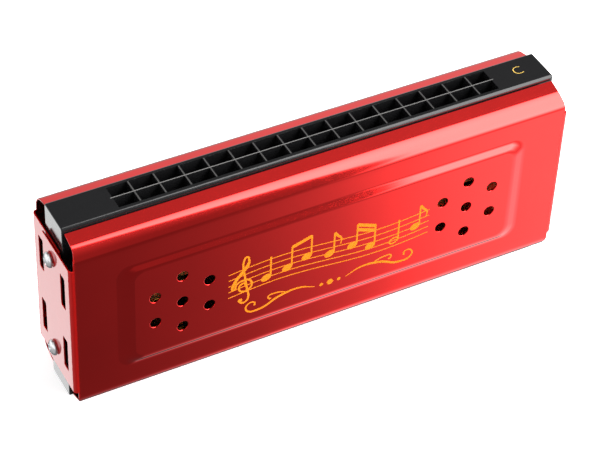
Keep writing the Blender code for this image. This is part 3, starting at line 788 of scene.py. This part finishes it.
class HARMONICA_OT_screws(bpy.types.Operator):
    """Turn the four domed cross-head screws"""
    bl_idname = "harmonica.screws"
    bl_label = "End screws"
    bl_options = {"REGISTER", "UNDO"}

    def execute(self, context):
        screw = screw_shape(context.scene.harmonica_screws)
        plating = chrome()
        turns = {("upper", "left"): 12.0, ("lower", "left"): 38.0, ("upper", "right"): 65.0,
                 ("lower", "right"): 22.0}
        for (level, end), turn in turns.items():
            way = -1 if end == "left" else 1
            place = (Matrix.Translation((way * UNDER_HEAD, 0.0, SCREW_HEIGHTS[level]))
                     @ Matrix.Rotation(way * math.pi / 2, 4, "Y")
                     @ Matrix.Rotation(math.radians(turn), 4, "Z"))
            copy = duplicate(screw, f"{level}_{end}_domed_screw", place)
            put(copy, plating)
            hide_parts(f"{level}_{end}_screw")
            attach(copy, "body")
        bpy.data.objects.remove(screw, do_unlink=True)
        return {"FINISHED"}


# Brass

class HARMONICA_OT_brass(bpy.types.Operator):
    """Give the reed plates, reeds and nails their brushed brass"""
    bl_idname = "harmonica.brass"
    bl_label = "Reed plates and reeds"
    bl_options = {"REGISTER", "UNDO"}

    def execute(self, context):
        plate_brass = brushed_brass("plate_brass", colour=(0.78, 0.53, 0.18), scale=1500.0, rough=0.32)
        reed_brass = brushed_brass("reed_brass", colour=(0.86, 0.64, 0.27), scale=2200.0, rough=0.26)
        for name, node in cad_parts.items():
            if name.endswith("_reeds"):
                put(node, reed_brass)
            elif "_plate" in name or "_nail_" in name:
                put(node, plate_brass)
        return {"FINISHED"}


# Print

STAVE_ENDS = (-26.5 * MM, 27.8 * MM)
STAVE_MIDDLE = MIDDLE - 0.4 * MM
STAVE_GAP = 1.85 * MM
STAVE_WAVE = 1.0 * MM
LINE_WIDTH = 0.26 * MM
STEM_WIDTH = 0.46 * MM
STEM_LENGTH = 6.3 * MM
BEAM_WIDTH = 1.0 * MM
HEAD_SIZE = (1.42 * MM, 1.02 * MM)
HEAD_TILT = math.radians(24.0)
CLEF_X = -22.6 * MM
HALF_NOTE_RING = 0.42 * MM
FLOURISH_MIDDLE = (1.0 * MM, MIDDLE - 9.9 * MM)

# A line's thickness over the print's: half is sunk in the panel, and the rest stays under the ovals' faces
LINE_THICKNESS = 1.9

# Notes of the ornament: place along the stave in millimetres, steps above its middle line, kind
NOTES = ((-16.6, -2, "quarter"), (-11.0, -1, "beamed"), (-5.8, 1, "beamed"), (0.4, 0, "flagged"),
         (6.6, 1, "beamed"), (11.6, -1, "beamed"), (18.2, -2, "half"), (24.0, 0, "flagged"))
BEAMS = ((1, 2, 1), (4, 5, 2))

# The clef's line, in stave gaps from the line that it curls round
CLEF = ((0.35, 0.1), (0.1, 0.55), (-0.45, 0.4), (-0.6, -0.3), (-0.1, -0.85), (0.75, -0.75), (1.2, 0.0),
        (0.85, 0.85), (0.05, 1.1), (-0.95, 0.75), (-1.4, -0.1), (-1.2, 1.2), (-0.3, 2.4), (0.5, 3.4),
        (0.75, 4.4), (0.4, 5.0), (0.0, 4.4), (-0.05, 3.4), (0.2, 1.6), (0.55, -0.8), (0.75, -2.0),
        (0.4, -2.75), (-0.25, -2.8), (-0.55, -2.3))
CLEF_THICK = (11, 12, 13)

# Lines that swell: places in millimetres from where they start, each with the width there over the pen's
FLAG = ((0.0, 0.0, 1.6), (0.9, -1.3, 1.5), (1.9, -2.5, 1.0), (1.7, -4.4, 0.4))
SCROLL = ((4.2, 0.0, 0.5), (8.5, 1.5, 1.2), (14.0, 0.9, 1.7), (19.0, -1.1, 1.5), (22.6, -0.3, 1.2),
          (22.4, 1.6, 1.0), (20.6, 1.7, 0.9), (20.5, 0.6, 1.3))
BRANCH = ((11.5, 1.4, 0.8), (14.8, 2.4, 1.2), (16.9, 1.9, 1.1), (16.2, 0.9, 1.5))

# The dots in the middle of the flourish: place and radius in millimetres
DOTS = ((-2.4, 0.5), (0.0, 0.85), (2.4, 0.5))


def stave_height(x, steps):
    """The height of a place on the stave, whose lines wave like a ribbon."""
    share = (x - STAVE_ENDS[0]) / (STAVE_ENDS[1] - STAVE_ENDS[0])
    return STAVE_MIDDLE + STAVE_WAVE * math.sin(2 * math.pi * share) + steps * STAVE_GAP / 2


def ink_line(points, width, widths=None):
    """A printed line through places (x, z) on the panel, with round ends, its middle at y = 0."""
    bpy.ops.curve.primitive_bezier_curve_add()
    line = bpy.context.object
    curve = line.data
    curve.splines.clear()
    spline = curve.splines.new("BEZIER")
    spline.bezier_points.add(len(points) - 1)
    for index, (knot, (x, z)) in enumerate(zip(spline.bezier_points, points)):
        knot.co = (x, 0.0, z)
        knot.handle_left_type = "AUTO"
        knot.handle_right_type = "AUTO"
        knot.radius = widths[index] if widths else 1.0
    curve.resolution_u = 6
    curve.bevel_depth = width / 2
    curve.bevel_resolution = 2
    curve.use_fill_caps = True
    only(line)
    bpy.ops.object.convert(target="MESH")
    thickest = width * max(widths or [1.0])
    line.scale = (1.0, LINE_THICKNESS * bpy.context.scene.harmonica_prints.thickness / thickest, 1.0)
    set_in_place()
    return line


def swelling_line(knots, x, z, width, way=1):
    """A printed line whose width changes, from a place on the panel and to either side."""
    points = [(x + way * along * MM, z + up * MM) for along, up, _ in knots]
    return ink_line(points, width, [swell for _, _, swell in knots])


def ink_oval(x, z, half_x, half_z, tilt=0.0, ring=0.0):
    """A printed oval, solid or a ring, its middle at y = 0."""
    bpy.ops.mesh.primitive_circle_add(vertices=32, radius=1.0, fill_type="NGON")
    oval = new_piece("oval")
    oval.scale = (half_x, half_z, 1.0)
    set_in_place()
    edit(oval)
    bpy.ops.mesh.select_all(action="SELECT")
    if ring:
        bpy.ops.mesh.inset(thickness=ring)
        bpy.ops.mesh.delete(type="ONLY_FACE")
        bpy.ops.mesh.select_all(action="SELECT")
    extrude(z=bpy.context.scene.harmonica_prints.thickness)
    done()
    settle(oval, Matrix.Translation((x, 0.0, z)) @ Matrix.Rotation(-tilt, 4, "Y")
           @ Matrix.Rotation(math.pi / 2, 4, "X"))
    return oval


def note_shapes():
    """The notes with their stems, flags and beams."""
    shapes, tops = [], []
    for along, steps, kind in NOTES:
        x = along * MM
        z = stave_height(x, steps)
        ring = HALF_NOTE_RING if kind == "half" else 0.0
        shapes.append(ink_oval(x, z, *HEAD_SIZE, HEAD_TILT, ring))
        stem_x = x + HEAD_SIZE[0] * 0.84
        top = z + STEM_LENGTH
        tops.append((stem_x, top))
        shapes.append(ink_line([(stem_x, z + 0.3 * MM), (stem_x, top)], STEM_WIDTH))
        if kind == "flagged":
            shapes.append(swelling_line(FLAG, stem_x, top, STEM_WIDTH))
    for first, last, count in BEAMS:
        for index in range(count):
            drop = (0.2 + 1.5 * index) * MM
            ends_at = [(tops[note][0], tops[note][1] - drop) for note in (first, last)]
            shapes.append(ink_line(ends_at, BEAM_WIDTH))
    return shapes


def flourish_shapes():
    """A scroll under the stave: two long curls that meet at a row of dots."""
    shapes = []
    middle_x, middle_z = FLOURISH_MIDDLE
    for way in (-1, 1):
        shapes.append(swelling_line(SCROLL, middle_x, middle_z, 0.42 * MM, way))
        shapes.append(swelling_line(BRANCH, middle_x, middle_z, 0.36 * MM, way))
    for offset, size in DOTS:
        shapes.append(ink_oval(middle_x + offset * MM, middle_z, size * MM, size * MM))
    return shapes


def ornament_shape():
    """The whole ornament, its middle plane at y = 0."""
    shapes = []
    left, right = STAVE_ENDS
    for steps in (-4, -2, 0, 2, 4):
        places = [left + (right - left) * index / 12 for index in range(13)]
        shapes.append(ink_line([(x, stave_height(x, steps)) for x in places], LINE_WIDTH))
    base = stave_height(CLEF_X, -2)
    shapes.append(ink_line([(CLEF_X + x * STAVE_GAP, base + z * STAVE_GAP) for x, z in CLEF], 0.5 * MM,
                           [1.9 if index in CLEF_THICK else 1.1 for index in range(len(CLEF))]))
    shapes.append(ink_oval(CLEF_X - 0.45 * STAVE_GAP, base - 2.3 * STAVE_GAP, 0.6 * MM, 0.6 * MM))
    return join(shapes + note_shapes() + flourish_shapes(), "ornament")


class HARMONICA_OT_prints(bpy.types.Operator):
    """Print the ornament on the panels and lay the foil of the key letters"""
    bl_idname = "harmonica.prints"
    bl_label = "Prints"
    bl_options = {"REGISTER", "UNDO"}

    def execute(self, context):
        settings = context.scene.harmonica_prints
        amber = printed("amber_ink", settings.amber, 0.4)
        gold = printed("gold_foil", settings.gold, 0.35)
        ornament = ornament_shape()
        face = Matrix.Translation((0.0, settings.thickness - PANEL_FACE, 0.0))
        for name, turn in (("front_ornament", 0.0), ("rear_ornament", math.pi)):
            copy = duplicate(ornament, name, Matrix.Rotation(turn, 4, "Z") @ face)
            smooth(copy, 35.0)
            put(copy, amber)
            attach(copy, "body")
        bpy.data.objects.remove(ornament, do_unlink=True)
        for level in LEVELS:
            foil = key_letter(level)
            inwards = -1 if level == "upper" else 1
            settle(foil, Matrix.Translation((0.0, 0.0, inwards * (KEY_DEPTH + settings.thickness))))
            put(foil, gold)
            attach(foil, "body")
        return {"FINISHED"}


# Stage

# The studio as the enamel mirrors it: a tall wall of light at the right, brightest towards the front
WALL_SIDE = (0.983, 0.182, 0.0)
WALL_FRONT = (0.75, -0.66, 0.0)
WALL_BACK_EDGE = (0.0, 1.0, -0.158)
CARD = (-0.255, 0.667, -0.7)
FLOOR_SIZE = 6.0
CAMERA_TARGET = (-7.749 * MM, -11.727 * MM, 38.614 * MM)


class Studio:
    """The light that comes from each direction, put together from soft ramps."""

    def __init__(self, world):
        world.use_nodes = True
        self.tree = world.node_tree
        self.direction = self.tree.nodes.new("ShaderNodeTexCoord").outputs["Generated"]
        self.background = self.tree.nodes["Background"]

    def towards(self, axis):
        """How far a direction points along an axis, from -1 to 1."""
        dot = self.tree.nodes.new("ShaderNodeVectorMath")
        dot.operation = "DOT_PRODUCT"
        dot.inputs[1].default_value = axis
        self.tree.links.new(self.direction, dot.inputs[0])
        return dot.outputs["Value"]

    def ramp(self, value, start, end, low, high):
        """A smooth change from low to high while the value goes from start to end."""
        soft = self.tree.nodes.new("ShaderNodeMapRange")
        soft.interpolation_type = "SMOOTHSTEP"
        for socket, number in (("From Min", start), ("From Max", end), ("To Min", low), ("To Max", high)):
            soft.inputs[socket].default_value = number
        self.tree.links.new(value, soft.inputs["Value"])
        return soft.outputs["Result"]

    def combined(self, operation, first, second):
        node = self.tree.nodes.new("ShaderNodeMath")
        node.operation = operation
        self.tree.links.new(first, node.inputs[0])
        self.tree.links.new(second, node.inputs[1])
        return node.outputs["Value"]

    def times(self, first, second):
        return self.combined("MULTIPLY", first, second)

    def plus(self, first, second):
        return self.combined("ADD", first, second)


def light_studio(world, settings):
    """A wall of light at the right, a dim room, a paler table, and a small card that the flaps mirror."""
    studio = Studio(world)
    ramp, plus, times = studio.ramp, studio.plus, studio.times
    side, height = studio.towards(WALL_SIDE), studio.towards((0.0, 0.0, 1.0))
    left, depth = studio.towards((-1.0, 0.0, 0.0)), studio.towards((0.0, 1.0, 0.0))

    glow = times(ramp(studio.towards(WALL_FRONT), -0.1, 0.65, 0.42, 1.0),
                 ramp(height, -0.5, -0.1, 0.0, settings.wall))
    width = times(ramp(side, 0.228, 0.245, 0.0, 1.0), ramp(side, 0.5, 0.75, 1.0, 0.15))
    back_edge = ramp(studio.towards(WALL_BACK_EDGE), 0.0, 0.03, 1.0, 0.0)
    wall = times(times(glow, width), back_edge)

    table = times(ramp(side, 0.25, 0.36, 0.0, settings.table), ramp(height, -0.62, -0.5, 1.0, 0.0))
    near_side = plus(ramp(side, 0.12, 0.3, 0.2, 0.55), ramp(side, 0.2, 0.32, 0.0, 0.6))
    upper = plus(ramp(height, -0.35, -0.1, 0.0, 0.12), ramp(height, 0.2, 0.95, 0.0, 0.2))
    front = plus(plus(near_side, table), upper)
    low = plus(ramp(height, -0.6, -0.2, 0.25, 1.0), ramp(height, 0.25, 0.5, 0.0, -0.8))
    rear = times(plus(low, ramp(height, 0.75, 0.9, 0.0, 0.45)), ramp(side, 0.25, 0.6, 0.8, 1.3))
    room = plus(times(front, ramp(depth, -0.1, 0.15, 1.0, 0.0)),
                times(rear, ramp(depth, -0.1, 0.15, 0.0, 1.0)))

    card = ramp(studio.towards(CARD), 0.984, 0.996, 0.0, settings.card)
    fill = times(ramp(left, 0.3, 0.7, 0.0, 0.8), ramp(height, -0.1, 0.2, 0.35, 1.0))
    strength = plus(plus(wall, room), plus(card, fill))
    studio.background.inputs["Color"].default_value = (1.0, 1.0, 1.0, 1.0)
    studio.tree.links.new(strength, studio.background.inputs["Strength"])


class HARMONICA_OT_stage(bpy.types.Operator):
    """Set the pale floor, the soft light and the camera"""
    bl_idname = "harmonica.stage"
    bl_label = "Stage"
    bl_options = {"REGISTER", "UNDO"}

    def execute(self, context):
        settings = context.scene.harmonica_stage
        bpy.ops.object.select_all(action="DESELECT")
        bpy.ops.mesh.primitive_plane_add(size=FLOOR_SIZE, location=(0.0, 0.0, 0.0))
        floor = new_piece("floor")
        paper = Finish("pale_floor")
        grain = paper.noise(40.0, 3.0)
        paper.colour(paper.blend(grain, tone(settings.floor, 0.995), settings.floor))
        paper.set(Roughness=0.8, Specular_IOR_Level=0.2, Emission_Color=(1.0, 1.0, 1.0, 1.0),
                  Emission_Strength=settings.glow)
        put(floor, paper.material)
        floor.visible_glossy = False

        world = bpy.data.worlds.new("studio")
        context.scene.world = world
        light_studio(world, settings)
        context.scene.view_settings.view_transform = "Standard"

        data = bpy.data.cameras.new("camera")
        data.lens = settings.lens
        data.sensor_width = 36.0
        data.clip_start = 0.01
        data.clip_end = 20.0
        camera = bpy.data.objects.new("camera", data)
        context.scene.collection.objects.link(camera)
        turn = (Matrix.Rotation(settings.azimuth, 3, "Z")
                @ Matrix.Rotation(math.pi / 2 - settings.elevation, 3, "X")
                @ Matrix.Rotation(settings.roll, 3, "Z"))
        back = turn @ Vector((0.0, 0.0, 1.0))
        camera.location = Vector(CAMERA_TARGET) + back * settings.distance
        camera.rotation_euler = turn.to_euler()
        context.scene.camera = camera
        return {"FINISHED"}


class HARMONICA_PT_panel(bpy.types.Panel):
    """Lists the steps that build the harmonica"""
    bl_idname = "HARMONICA_PT_panel"
    bl_label = "Tremolo harmonica"
    bl_space_type = "VIEW_3D"
    bl_region_type = "UI"
    bl_category = "Harmonica"

    def draw(self, context):
        for step in STEPS:
            self.layout.operator(step.bl_idname)


SETTINGS = {
    "harmonica_covers": CoverSettings,
    "harmonica_combs": CombSettings,
    "harmonica_screws": ScrewSettings,
    "harmonica_prints": PrintSettings,
    "harmonica_stage": StageSettings,
}
STEPS = (HARMONICA_OT_combs, HARMONICA_OT_brass, HARMONICA_OT_covers, HARMONICA_OT_screws,
         HARMONICA_OT_prints, HARMONICA_OT_stage)


def register():
    for group in SETTINGS.values():
        bpy.utils.register_class(group)
    for step in STEPS:
        bpy.utils.register_class(step)
    bpy.utils.register_class(HARMONICA_PT_panel)
    for name, group in SETTINGS.items():
        setattr(bpy.types.Scene, name, PointerProperty(type=group))


def unregister():
    for name in SETTINGS:
        delattr(bpy.types.Scene, name)
    bpy.utils.unregister_class(HARMONICA_PT_panel)
    for step in reversed(STEPS):
        bpy.utils.unregister_class(step)
    for group in SETTINGS.values():
        bpy.utils.unregister_class(group)


def main():
    register()
    for step in STEPS:
        category, name = step.bl_idname.split(".")
        getattr(getattr(bpy.ops, category), name)()


if __name__ == "__main__":
    main()
